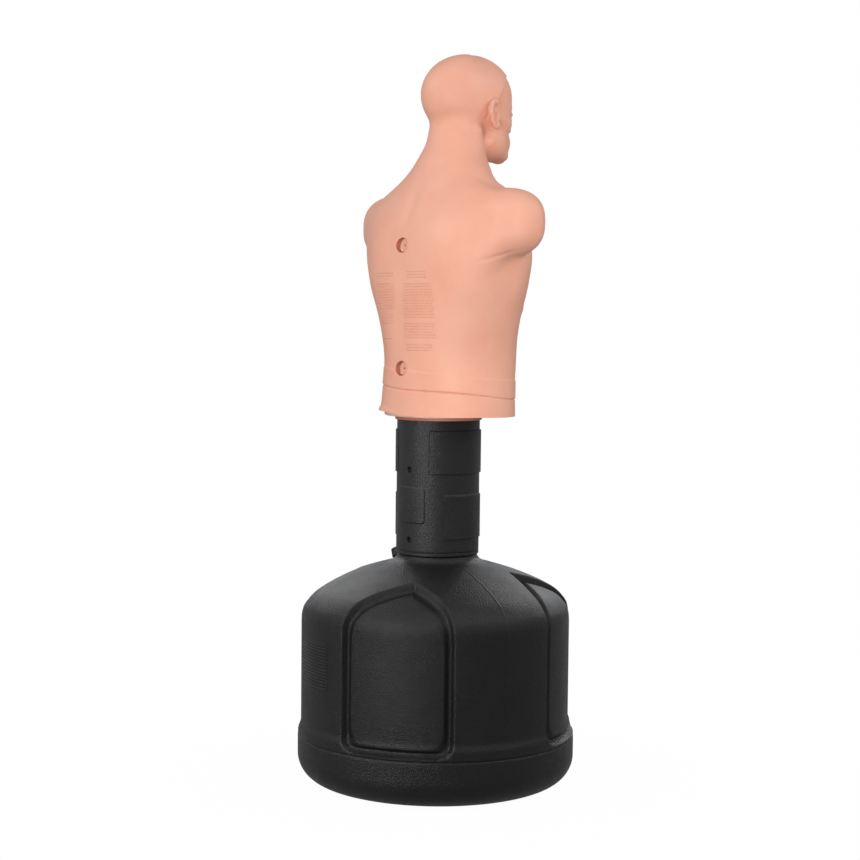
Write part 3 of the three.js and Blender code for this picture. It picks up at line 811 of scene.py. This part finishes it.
def filler_parts():
    """The threaded spout, its ribbed cap and the seal between them."""
    tilt = Matrix.Rotation(math.radians(CAP_TILT), 4, "Y")
    place = turned(BASE_TURN) @ Matrix.Translation(Vector((CAP_DISTANCE, 0, CAP_HEIGHT)) * MM) @ tilt
    root, thread_pitch, ribs = -17, 4.2, 28

    def thread(angle, r, z):
        depth = 0.9 * max(0, math.cos(2 * math.pi * z / thread_pitch)) if r > 18 and z > 2 else 0
        return 0 * angle + depth

    def grip(angle, r, z):
        if r > CAP_RADIUS - 1.5 and 4 < z < CAP_TOP - 2.5:
            return -1.3 * (0.5 + 0.5 * np.cos(ribs * angle)) ** 2
        return 0 * angle

    rows = [(SPOUT_BORE, root)] + [(SPOUT_RADIUS - 1, z) for z in np.linspace(root, SPOUT_HEIGHT - 1, 36)]
    rows += [(SPOUT_RADIUS - 1.6, SPOUT_HEIGHT), (SPOUT_BORE + 0.8, SPOUT_HEIGHT)]
    rows += [(SPOUT_BORE, SPOUT_HEIGHT - 0.8), (SPOUT_BORE, root)]
    spout = revolved("filler_spout", rows, 96, place, thread)

    top, edge, hollow = CAP_TOP - 0.4, CAP_RADIUS, SPOUT_RADIUS + 0.8
    inner = [(0, 17), (SPOUT_RADIUS, 17), (hollow, 16.2), (hollow, 3), (hollow + 0.6, 2.2)]
    side = [(edge - 0.8, 2.2), (edge, 3)] + [(edge, z) for z in np.linspace(3.6, top - 2, 14)]
    crown = [(edge - 0.5, top - 1), (edge - 1.8, top - 0.2), (edge - 3.2, top)]
    crown += [(17.5, top), (16.8, top - 1), (16, top - 1.6), (0, top - 1.6)]
    cap = revolved("screw_cap", inner + side + crown, 224, place, grip)
    seal = revolved("cap_seal", [
        (SPOUT_BORE, 13.5), (19, 13.5), (19.4, 13.9), (19.4, 16.1), (19, 16.5), (SPOUT_BORE, 16.5),
        (SPOUT_BORE, 13.5),
    ], 96, place)
    return spout, cap, seal


# ---- Post and stem --------------------------------------------------------
def pierced_tube(name, outer, bore, heights, holes, columns, relief=None, hole_floor=5.0, edge=0.8):
    """Tube whose outer rows are at given heights, with round holes on the +Y line."""
    pitch = 0.75  # points this near the hole's edge are moved onto it
    angle = np.linspace(0, 360, columns, endpoint=False)
    theta, z = np.meshgrid(angle, np.asarray(heights, float))
    radius = np.full_like(theta, outer) + (relief(theta, z) if relief else 0)
    for height in holes:
        across = (theta - 90) * math.pi / 180 * outer
        away = np.hypot(across, z - height)
        snap = np.abs(away - PEG_HOLE) < pitch
        scale = np.where(snap & (away > 0), PEG_HOLE / np.maximum(away, 1e-6), 1)
        theta = np.where(snap, 90 + across * scale / (math.pi / 180 * outer), theta)
        z = np.where(snap, height + (z - height) * scale, z)
        radius = radius - np.where(away < PEG_HOLE - pitch, hole_floor, 0)
        radius = radius - np.where(snap, edge, 0)
    c, s = np.cos(np.radians(theta)), np.sin(np.radians(theta))
    grid = np.stack([radius * c, radius * s, z], -1)
    low, high = heights[0], heights[-1]
    closing = [(outer - 1, high + 0.8), (bore + 1, high + 0.8)]
    closing += [(bore, h) for h in (high - 1, (high * 2 + low) / 3, (high + 2 * low) / 3, low + 1)]
    closing.append((bore + 1, low - 0.8))
    rows = [ring(outer - 0.4, low - 0.8, angle)] + list(grid) + [ring(r, h, angle) for r, h in closing]
    points = np.concatenate(rows)
    faces = wrapped_grid(len(rows), columns)
    last = (len(rows) - 1) * columns
    bottom = [(last + j, last + (j + 1) % columns, (j + 1) % columns, j) for j in range(columns)]
    piece = mesh_object(name, points, list(faces) + bottom)
    piece.data.transform(turned(STEM_TURN))
    piece.data.set_sharp_from_angle(angle=math.radians(38))
    return piece


def thinned(heights, gap):
    """Sorted heights, each more than gap above the one before."""
    kept = []
    for z in sorted(np.round(heights, 2)):
        if not kept or z - kept[-1] > gap:
            kept.append(z)
    return kept


def stem_relief(theta, z):
    """Grip panels at the sides and a plain pad on the peg line."""
    def box(centre, half, low, high, height, top_edge=2.5, corner=0.0):
        across = (half - np.abs((theta - centre + 180) % 360 - 180)) * math.pi / 180 * STEM_RADIUS
        if corner:
            inside = join(join(across, z - low, corner), high - z, corner)
            return height * ramp(inside, 0, 2.6)
        return height * ramp(across, 0, 1.8) * ramp(z, low - 0.3, low + 0.5) * ramp(high - z, 0, top_edge)
    relief = box(90, 26, *PLAIN_PAD, 1.5, corner=9)
    for centre in (0, 180):
        relief = relief + box(centre, 59.3, *UPPER_GRIP, 3.0) + box(centre, 37, *LOWER_GRIP, 3.0, 3.5)
    return relief


def stem_moulding():
    heights = [np.arange(e - 5, e + 5.1, 0.8) for e in UPPER_GRIP + LOWER_GRIP + PLAIN_PAD]
    heights += [np.arange(h - 11, h + 11.1, 1.3) for h in PEG_HEIGHTS]
    heights += [np.arange(STEM_BOTTOM + 1, 800, 4.0), np.arange(800, STEM_TOP, 22), [STEM_TOP - 1.0]]
    columns = 440
    return pierced_tube("stem_moulding", STEM_RADIUS, STEM_BORE, thinned(np.concatenate(heights), 0.55),
                        PEG_HEIGHTS, columns, stem_relief)


def stem_ends():
    """The bush at the stem's foot and the cap on its top."""
    low, out = NECK_TOP + 0.3, STEM_BOTTOM - 0.3
    guide, neck, collar = 78.6, STEM_BORE - 0.3, STEM_BOTTOM + 14
    bush = revolved("lower_bush", [
        (guide, low + 0.6), (guide + 0.6, low), (STEM_RADIUS - 1.5, low), (STEM_RADIUS, low + 1.5),
        (STEM_RADIUS, out - 1.2), (STEM_RADIUS - 1.2, out), (neck, out), (neck, collar - 0.6),
        (neck - 0.6, collar), (guide + 0.6, collar), (guide, collar - 0.6), (guide, low + 0.6),
    ], 192)
    top = STEM_TOP + 0.9
    cap = revolved("stem_top_cap", [
        (0, STEM_TOP - 12), (STEM_BORE - 1, STEM_TOP - 12), (neck, STEM_TOP - 11), (neck, top),
        (STEM_RADIUS - 0.6, top), (STEM_RADIUS, top + 0.6), (STEM_RADIUS, top + 4),
        (STEM_RADIUS - 1.2, STEM_TOP + 6), (60, STEM_TOP + 6), (58, STEM_TOP + 5), (0, STEM_TOP + 5),
    ], 128)
    return bush, cap


def height_post():
    holes = [PEG_HEIGHTS[0] + n * HOLE_PITCH for n in range(8)]
    heights = [np.arange(h - 10, h + 10.1, 1.3) for h in holes]
    heights += [np.arange(WELL_FLOOR + 2, POST_TOP, 12.0), [POST_TOP - 1.0]]
    columns = 360
    return pierced_tube("height_post", POST_RADIUS, POST_BORE, thinned(np.concatenate(heights), 0.7),
                        holes, columns)


def height_pegs():
    near, far = POST_RADIUS + 1, 86.5
    profile = [(0, near), (5.6, near), (6.3, near + 0.8), (6.3, far - 0.8), (5.6, far), (3.1, far)]
    profile += [(2.5, far - 0.6), (2.5, 82.5), (0, 82)]
    return [revolved(name, profile, 48, turned(STEM_TURN) @ facing_back(height))
            for name, height in zip(("peg_low", "peg_high"), PEG_HEIGHTS)]


# ---- Torso fittings -------------------------------------------------------
def foam_field(x, y, z):
    body = figure_field(x, y, np.maximum(z, HEM_HEIGHT + 4)) + SKIN_THICKNESS + 0.7
    reach = np.sqrt(x**2 + y**2)
    floor = FOAM_BOTTOM + 6.5 + 2.5 * ramp(reach, 98, 150)
    body = np.maximum(body, floor - z)
    bore = np.maximum(reach - (SOCKET_RADIUS + 0.4), z - 1160)
    return np.maximum(body, -bore)


def foam_filling():
    xs, ys = np.arange(-282, 284, 6.0), np.arange(-210, 130, 6.0)
    zs = spaced(1, (792, 1.6), (830, 9.0), (1600, 0))
    points, quads = surface_net(sampled(foam_field, xs, ys, zs), xs, ys, zs)
    points = settle(points, foam_field, 2)
    return mesh_object("foam_filling", points, quads)


def torso_fittings():
    low = FOAM_BOTTOM
    # the socket liner; its deep colour, set further down, is painted shade under the hem round the stem
    liner = revolved("socket_liner", [
        (SOCKET_BORE, low + 1), (SOCKET_BORE + 0.8, low), (SOCKET_RADIUS - 0.8, low),
        (SOCKET_RADIUS, low + 0.8), (SOCKET_RADIUS, SOCKET_TOP - 1), (SOCKET_RADIUS - 1, SOCKET_TOP),
        (SOCKET_BORE, SOCKET_TOP), (SOCKET_BORE, low + 1),
    ], 160)
    plugs, holes = [], []
    for name, height in zip(("plug_high", "plug_low"), POCKET_HEIGHTS):
        floor = POCKET_FLOORS[height] + 0.4
        place = facing_back(height)
        plugs.append(revolved(name, [
            (0, floor), (14.0, floor), (14.4, floor + 0.3), (14.4, floor + 0.7), (13.8, floor + 1.1),
            (9, floor + 1.2), (3.0, floor + 1.3), (2.3, floor + 1.0), (2.0, floor + 0.3),
            (0, floor + 0.2),
        ], 72, place))
        # a small dark disc in each plug's hole; its colour, set with the liner's, is painted shade inside
        # the hole
        holes.append(revolved(name + "_hole", [
            (0, floor + 0.9), (2.1, floor + 0.9), (2.1, floor + 0.3), (0, floor + 0.3),
        ], 24, place))
    return liner, plugs, holes


def back_rows():
    """Two blocks of short plain bars moulded in the back, standing where small print would."""
    chance = random.Random(7)
    points, faces = [], []
    # Each block: its left and right edge, then groups of rows as top, number of rows, share of the width.
    blocks = [(-92, -1, [(1116, 3, 0.72), (1090, 13, 1.0), (1005, 6, 1.0), (960, 3, 0.8)]),
              (24, 102, [(1114, 2, 0.9), (1091, 10, 1.0), (1024, 4, 0.8), (973, 1, 0.6)])]
    pitch, tall, proud = 5.9, 3.0, 0.9
    for left, right, groups in blocks:
        for top, count, share in groups:
            for row in range(count):
                z = top - row * pitch
                width = (right - left) * share * chance.uniform(0.9, 1.0)
                x = (left + right - width) / 2
                end = x + width
                while x < end - 3:
                    length = min(chance.uniform(1.8, 5.0), end - x)
                    add_bar(points, faces, x, x + length, z, tall, proud)
                    x += length + 1.9
    return mesh_object("back_rows", points, faces)


def add_bar(points, faces, x0, x1, z, tall, proud):
    """One low rounded bar that follows the back's surface."""
    steps = max(2, int((x1 - x0) / 3))
    half, root = tall / 2, -0.6
    section = [(-half, root), (-half, 0.1), (-half / 2, proud)]
    section += [(half / 2, proud), (half, 0.1), (half, root)]
    start = len(points)
    for i in range(steps + 1):
        x = x0 + (x1 - x0) * i / steps
        end_drop = 0.35 if i in (0, steps) else 0.0
        y = back_table(x, z)
        for dz, lift in section:
            points.append((x, y + lift - (end_drop if lift > 0 else 0), z + dz))
    n = len(section)
    for i in range(steps):
        for k in range(n):
            a, b = start + i * n + k, start + i * n + (k + 1) % n
            faces.append((b, a, a + n, b + n))
    faces.append(tuple(start + k for k in range(n)))
    faces.append(tuple(start + steps * n + k for k in reversed(range(n))))


_back_grid = {}


def back_table(x, z):
    """Y of the back at a place, from a small table made once from the figure's field."""
    if not _back_grid:
        gx, gz = np.arange(-120, 124, 4.0), np.arange(900, 1130, 6.0)
        ys = np.linspace(20, 130, 221)
        values = figure_field(gx[:, None, None], ys[None, :, None], gz[None, None, :])
        last = values.shape[1] - 1 - np.argmax((values < 0)[:, ::-1, :], axis=1)
        near = np.take_along_axis(values, last[:, None, :], 1)[:, 0, :]
        far = np.take_along_axis(values, np.minimum(last + 1, 220)[:, None, :], 1)[:, 0, :]
        _back_grid["y"] = ys[last] + (ys[1] - ys[0]) * near / (near - far)
    i, k = (x + 120) / 4, (z - 900) / 6
    i0, k0 = int(i), int(k)
    fi, fz, t = i - i0, k - k0, _back_grid["y"]
    return ((t[i0, k0] * (1 - fi) + t[i0 + 1, k0] * fi) * (1 - fz)
            + (t[i0, k0 + 1] * (1 - fi) + t[i0 + 1, k0 + 1] * fi) * fz)


# ---- Camera, floor and lights ---------------------------------------------
ROOM_LIGHT, FLOOR_LIGHT = 0.50, 0.30
# Softboxes: name, bearing from the camera in degrees, distance, height above the floor, the panel's
# width and height, power, and the parts it reaches; flags keep it off the others.
LAMPS = [
    ("left_softbox", -72, 2.6, 2.9, 1.8, 1.4, 32, "all"),
    ("right_softbox", 74, 2.6, 2.9, 1.8, 1.4, 30, "all"),
    ("top_softbox", 0, 1.6, 3.4, 1.8, 1.4, 16, "black"),
    ("low_key", -37, 2.6, 0.95, 0.9, 0.55, 36, "black"),
    ("sheen_left", -152, 2.7, 1.75, 1.1, 0.8, 12, "tank"),
    ("sheen_right", 150, 2.7, 1.75, 1.1, 0.8, 14, "tank"),
    ("figure_fill", -4, 2.4, 0.8, 1.7, 1.1, 41, "figure"),
]


def studio(groups):
    scene = bpy.context.scene
    azimuth, distance, height = math.radians(230), 3.954, 1.003
    camera = bpy.data.objects.new("camera", bpy.data.cameras.new("camera"))
    scene.collection.objects.link(camera)
    camera.data.lens = 36 * 1800 / 860
    camera.data.sensor_width = 36
    camera.data.clip_end = 60
    camera.location = (math.sin(azimuth) * distance, -math.cos(azimuth) * distance, height)
    pitch, aside, roll = math.radians(3.35), math.radians(0.27), math.radians(0.57)
    camera.matrix_world = (Matrix.Translation(camera.location) @ Matrix.Rotation(azimuth + aside, 4, "Z")
                           @ Matrix.Rotation(math.pi / 2 - pitch, 4, "X") @ Matrix.Rotation(roll, 4, "Z"))
    scene.camera = camera

    far = 60000
    corners = [(-far, -far, -0.5), (far, -far, -0.5), (far, far, -0.5), (-far, far, -0.5)]
    floor = mesh_object("studio_floor", corners, [(0, 1, 2, 3)])
    pale = Finish("pale_floor", (0.94, 0.94, 0.94), 0.8, 0.1)
    link, new = pale.tree.links.new, pale.tree.nodes.new
    reach = new("ShaderNodeVectorMath")
    reach.operation = "LENGTH"
    link(pale.place, reach.inputs[0])
    seen = pale.remap(new("ShaderNodeLightPath").outputs["Is Camera Ray"], FLOOR_LIGHT, 1.0, 0.0, 1.0)
    backdrop, mix = new("ShaderNodeEmission"), new("ShaderNodeMixShader")
    backdrop.inputs["Color"].default_value = (1, 1, 1, 1)
    link(seen, backdrop.inputs["Strength"])
    link(pale.remap(reach.outputs["Value"], 0.98, 1.0, 0.3, 1.0), mix.inputs["Fac"])
    link(pale.shader.outputs["BSDF"], mix.inputs[1])
    link(backdrop.outputs["Emission"], mix.inputs[2])
    link(mix.outputs["Shader"], pale.tree.nodes["Material Output"].inputs["Surface"])
    pale.on(floor)

    world = bpy.data.worlds.new("studio")
    scene.world = world
    world.use_nodes = True
    tree = world.node_tree
    link, new = tree.links.new, tree.nodes.new
    room, white = tree.nodes["Background"], new("ShaderNodeBackground")
    room.inputs["Color"].default_value = (0.93, 0.96, 1.0, 1)
    room.inputs["Strength"].default_value = ROOM_LIGHT
    white.inputs["Color"].default_value = (1, 1, 1, 1)
    choose = new("ShaderNodeMixShader")
    link(new("ShaderNodeLightPath").outputs["Is Camera Ray"], choose.inputs["Fac"])
    link(room.outputs["Background"], choose.inputs[1])
    link(white.outputs["Background"], choose.inputs[2])
    link(choose.outputs["Shader"], tree.nodes["World Output"].inputs["Surface"])

    for name, turn, far, up, wide, tall, power, reach in LAMPS:
        lamp = bpy.data.lights.new(name, "AREA")
        lamp.shape = "RECTANGLE"
        lamp.size, lamp.size_y, lamp.energy = wide, tall, power
        light = bpy.data.objects.new(name, lamp)
        bearing = azimuth + math.radians(turn)
        light.location = (math.sin(bearing) * far, -math.cos(bearing) * far, up)
        light.rotation_euler = (Vector((0, 0, 0.9)) - light.location).to_track_quat("-Z", "Y").to_euler()
        scene.collection.objects.link(light)
        light.visible_camera = False
        if reach in groups:
            light.light_linking.receiver_collection = groups[reach]
    scene.view_settings.view_transform = "Standard"


# ---- Assembly -------------------------------------------------------------
groups = {name: bpy.data.collections.new(name + "_parts") for name in ("black", "tank", "stem", "figure")}
studio(groups)

tank_piece = tank()
spout, screw_cap, seal = filler_parts()
label = ribbed_pad()
stem = stem_moulding()
bush, stem_cap = stem_ends()
post, pegs = height_post(), height_pegs()
skin, foam = figure_shell(), foam_filling()
liner, plugs, plug_hole_shadows = torso_fittings()
rows = back_rows()

# Each piece with the body it rides, its material slot and the node it replaces.
for piece, body, slot, *nodes in (
    (tank_piece, "base", "black_moulding", "base_shell"),
    (spout, "base", "black_moulding"),
    (label, "base", "black_moulding"),
    (screw_cap, "cap", "black_cap", "fill_cap"),
    (seal, "gasket", "rubber", "fill_cap_gasket"),
    (stem, "stem", "black_moulding", "stem_tube"),
    (bush, "stem", "black_moulding", "stem_bush"),
    (stem_cap, "stem", "black_moulding", "stem_cap"),
    (post, "base", "post_plastic", "post_tube"),
    (pegs[0], "peg_lower", "rubber", "height_peg_lower"),
    (pegs[1], "peg_upper", "rubber", "height_peg_upper"),
    (skin, "torso", "vinyl_skin", "torso_skin"),
    (foam, "torso", "foam", "foam_core"),
    (liner, "torso", "socket_plastic", "socket_tube"),
    (plugs[0], "torso", "vinyl_skin", "back_plug_upper"),
    (plugs[1], "torso", "vinyl_skin", "back_plug_lower"),
    (rows, "torso", "vinyl_skin"),
    (plug_hole_shadows[0], "torso", "vinyl_skin"),
    (plug_hole_shadows[1], "torso", "vinyl_skin"),
):
    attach(piece, body)
    if nodes:
        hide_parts(*nodes)

black_plastic("tank_black", 0.007, 0.37).on(tank_piece, spout, label)
# painted light: the stem is the tank's black moulding with about twice its albedo, a lighter copy
# standing in for the light the stem catches
black_plastic("stem_black_painted_light", 0.015, 0.39, 0.7).on(stem, bush, stem_cap)
black_plastic("cap_black", 0.006, 0.42, 0.5).on(screw_cap)
post_finish = black_plastic("post_grey", 0.03, 0.4, 0.5)
post_finish.on(post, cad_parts["post_foot"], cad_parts["post_cap"])
black_plastic("seal_rubber", 0.008, 0.7, 0.8).on(seal, *pegs)
vinyl("flesh_vinyl").on(skin)
# painted shade: the raised bars take a darker copy of the skin's vinyl, standing in for the shade round
# their small relief
vinyl("raised_vinyl_shaded", (0.73, 0.335, 0.23)).on(rows)
plug_finish = Finish("plug_vinyl", (0.74, 0.35, 0.245), 0.5, 0.3)
plug_finish.bump(plug_finish.noise(900, 3), 0.1, 0.0002)
plug_finish.on(*plugs)
# painted shade: the liner and the discs in the plugs' holes take a deep red-brown, far darker than the
# flesh vinyl, for the shade round the stem's top and inside the holes
liner_shade_finish = Finish("liner_painted_shade", (0.42, 0.15, 0.09), 0.5, 0.3)
liner_shade_finish.bump(liner_shade_finish.noise(300, 3), 0.15, 0.0004)
liner_shade_finish.on(liner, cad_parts["socket_cap"], *plug_hole_shadows)
for names, pieces in (("black tank", (tank_piece, spout, label, screw_cap)), ("black stem", (stem, bush)),
                      ("figure", (skin, foam, liner, rows, *plugs))):
    for name in names.split():
        for piece in pieces:
            groups[name].objects.link(piece)
pale_foam = Finish("pale_foam", (0.86, 0.62, 0.53), 0.85, 0.2)
pale_foam.colors(pale_foam.noise(30, 6), (0.3, (0.82, 0.57, 0.48)), (0.7, (0.90, 0.68, 0.6)))
pale_foam.bump(pale_foam.pebbles(500), 0.4, 0.0006)
pale_foam.on(foam)
loose_sand = Finish("loose_sand", (0.46, 0.36, 0.22), 0.95, 0.2)
loose_sand.colors(loose_sand.noise(700, 6), (0.3, (0.34, 0.26, 0.15)), (0.7, (0.56, 0.45, 0.29)))
loose_sand.bump(loose_sand.noise(1200, 4), 0.8, 0.001)
loose_sand.on(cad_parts["sand_fill"])

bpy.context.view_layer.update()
